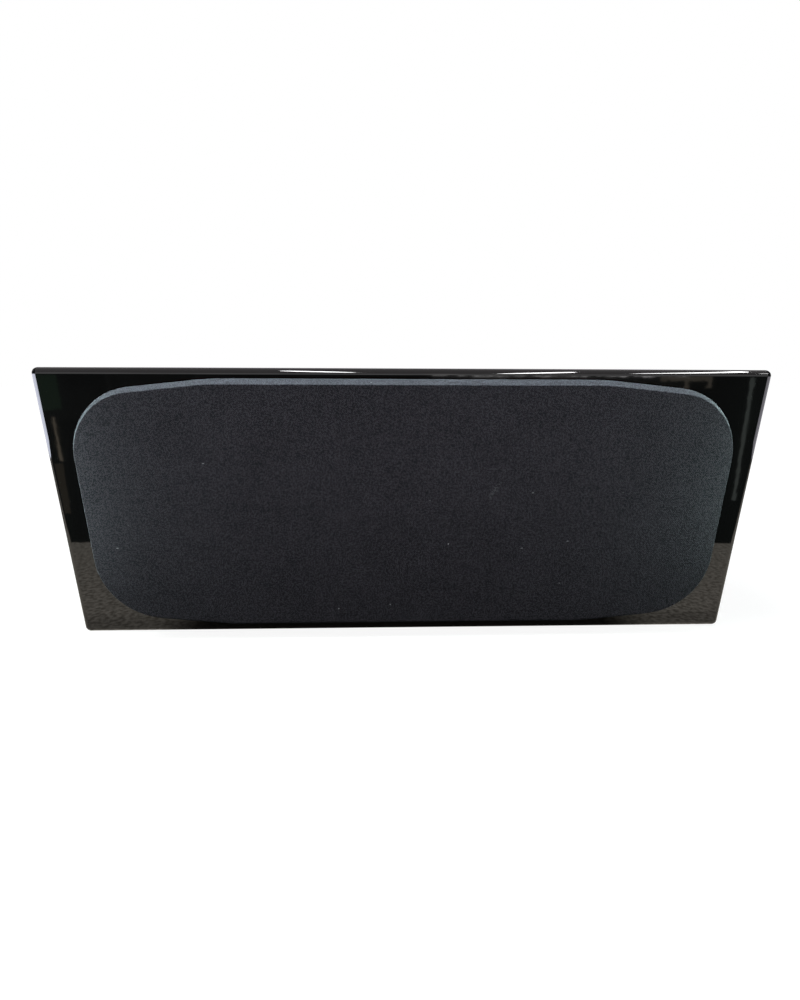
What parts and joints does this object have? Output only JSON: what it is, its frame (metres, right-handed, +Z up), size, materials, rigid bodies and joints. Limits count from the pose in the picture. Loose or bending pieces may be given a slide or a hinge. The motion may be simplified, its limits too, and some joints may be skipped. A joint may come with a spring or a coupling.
{
  "type": "lcr speaker",
  "caption": "Low wide gloss black loudspeaker cabinet with rounded edges and a bevelled dark cloth grille over its front, for use beside or below a screen.",
  "frame": {"origin": "middle of the cabinet's flat underside", "axes": "+Z up, the front with its grille faces -Y, +X to the right as the listener sees it"},
  "size_m": [0.6, 0.306, 0.234],
  "materials": {
    "cabinet_lacquer": "high-gloss black lacquer over fibreboard",
    "rear_board": "satin black paint over fibreboard",
    "inner_board": "bare fibreboard",
    "wadding": "soft polyester pad",
    "port_plastic": "fine matt black moulding",
    "grille_board": "matt black paint over fibreboard",
    "grille_cloth": "dark charcoal woven cloth",
    "peg_plastic": "black nylon",
    "socket_rubber": "black rubber",
    "basket_metal": "cast alloy, matt black",
    "cone_skin": "mineral-filled cone, satin dark grey",
    "surround_rubber": "soft black rubber",
    "spider_cloth": "phenolic cloth",
    "coil_copper": "enamelled copper wire",
    "motor_steel": "zinc-plated steel",
    "magnet_ferrite": "sintered ferrite",
    "tweeter_plate": "satin black plate",
    "dome_cloth": "coated soft dome",
    "gasket_foam": "closed-cell foam",
    "screw_black": "black oxide",
    "tray_plastic": "matt black moulding",
    "post_gold": "gold plate",
    "cap_red": "clear red",
    "cap_black": "gloss black",
    "board_green": "printed circuit board",
    "standoff_nylon": "white nylon",
    "capacitor_film": "wrapped film",
    "resistor_ceramic": "cement body"
  },
  "bodies": {
    "grille": {"grille_frame": "grille_board", "grille_cloth": "grille_cloth", "grille_pegs": "peg_plastic"},
    "woofer_left_diaphragm": {"woofer_left_cone": "cone_skin", "woofer_left_voice_coil": "coil_copper"},
    "woofer_right_diaphragm": {"woofer_right_cone": "cone_skin", "woofer_right_voice_coil": "coil_copper"},
    "midrange_diaphragm": {"midrange_cone": "cone_skin", "midrange_voice_coil": "coil_copper"},
    "cap_upper_left": {"post_cap_upper_left": "cap_black"},
    "cap_lower_left": {"post_cap_lower_left": "cap_black"},
    "cap_upper_right": {"post_cap_upper_right": "cap_red"},
    "cap_lower_right": {"post_cap_lower_right": "cap_red"},
    "cabinet": {"cabinet_shell": "cabinet_lacquer", "rear_panel": "rear_board", "grille_sockets": "socket_rubber", "driver_gaskets": "gasket_foam", "cabinet_screws": "screw_black", "terminal_tray": "tray_plastic", "post_stems": "post_gold", "jumper_links": "post_gold", "tweeter_plate": "tweeter_plate", "tweeter_dome": "dome_cloth", "tweeter_voice_coil": "coil_copper", "tweeter_top_plate": "motor_steel", "tweeter_magnet": "magnet_ferrite", "tweeter_yoke": "motor_steel", "tweeter_rear_cup": "port_plastic", "crossover_board": "board_green", "crossover_standoffs": "standoff_nylon", "crossover_inductors": "coil_copper", "crossover_capacitors": "capacitor_film", "crossover_resistors": "resistor_ceramic", "divider_left": "inner_board", "damping_pad_left": "wadding", "port_tube_left": "port_plastic", "divider_right": "inner_board", "damping_pad_right": "wadding", "port_tube_right": "port_plastic", "woofer_left_basket": "basket_metal", "woofer_left_surround": "surround_rubber", "woofer_left_spider": "spider_cloth", "woofer_left_top_plate": "motor_steel", "woofer_left_magnet": "magnet_ferrite", "woofer_left_yoke": "motor_steel", "woofer_right_basket": "basket_metal", "woofer_right_surround": "surround_rubber", "woofer_right_spider": "spider_cloth", "woofer_right_top_plate": "motor_steel", "woofer_right_magnet": "magnet_ferrite", "woofer_right_yoke": "motor_steel", "midrange_basket": "basket_metal", "midrange_surround": "surround_rubber", "midrange_spider": "spider_cloth", "midrange_top_plate": "motor_steel", "midrange_magnet": "magnet_ferrite", "midrange_yoke": "motor_steel"}
  },
  "joints": [
    {"name": "grille_pull", "type": "slide", "parent": "cabinet", "child": "grille", "axis": [0, -1, 0], "range_m": [0, 0.03]},
    {"name": "woofer_left_stroke", "type": "slide", "parent": "cabinet", "child": "woofer_left_diaphragm", "axis": [0, -1, 0], "range_m": [-0.004, 0.004], "stiffness_N_per_m": 900, "deforming": ["woofer_left_surround", "woofer_left_spider"]},
    {"name": "woofer_right_stroke", "type": "slide", "parent": "cabinet", "child": "woofer_right_diaphragm", "axis": [0, -1, 0], "range_m": [-0.004, 0.004], "stiffness_N_per_m": 900, "deforming": ["woofer_right_surround", "woofer_right_spider"]},
    {"name": "midrange_stroke", "type": "slide", "parent": "cabinet", "child": "midrange_diaphragm", "axis": [0, -1, 0], "range_m": [-0.0015, 0.0015], "stiffness_N_per_m": 700, "deforming": ["midrange_surround", "midrange_spider"]},
    {"name": "cap_upper_left_unscrew", "type": "slide", "parent": "cabinet", "child": "cap_upper_left", "axis": [0, 1, 0], "range_m": [0, 0.005]},
    {"name": "cap_lower_left_unscrew", "type": "slide", "parent": "cabinet", "child": "cap_lower_left", "axis": [0, 1, 0], "range_m": [0, 0.005]},
    {"name": "cap_upper_right_unscrew", "type": "slide", "parent": "cabinet", "child": "cap_upper_right", "axis": [0, 1, 0], "range_m": [0, 0.005]},
    {"name": "cap_lower_right_unscrew", "type": "slide", "parent": "cabinet", "child": "cap_lower_right", "axis": [0, 1, 0], "range_m": [0, 0.005]}
  ]
}
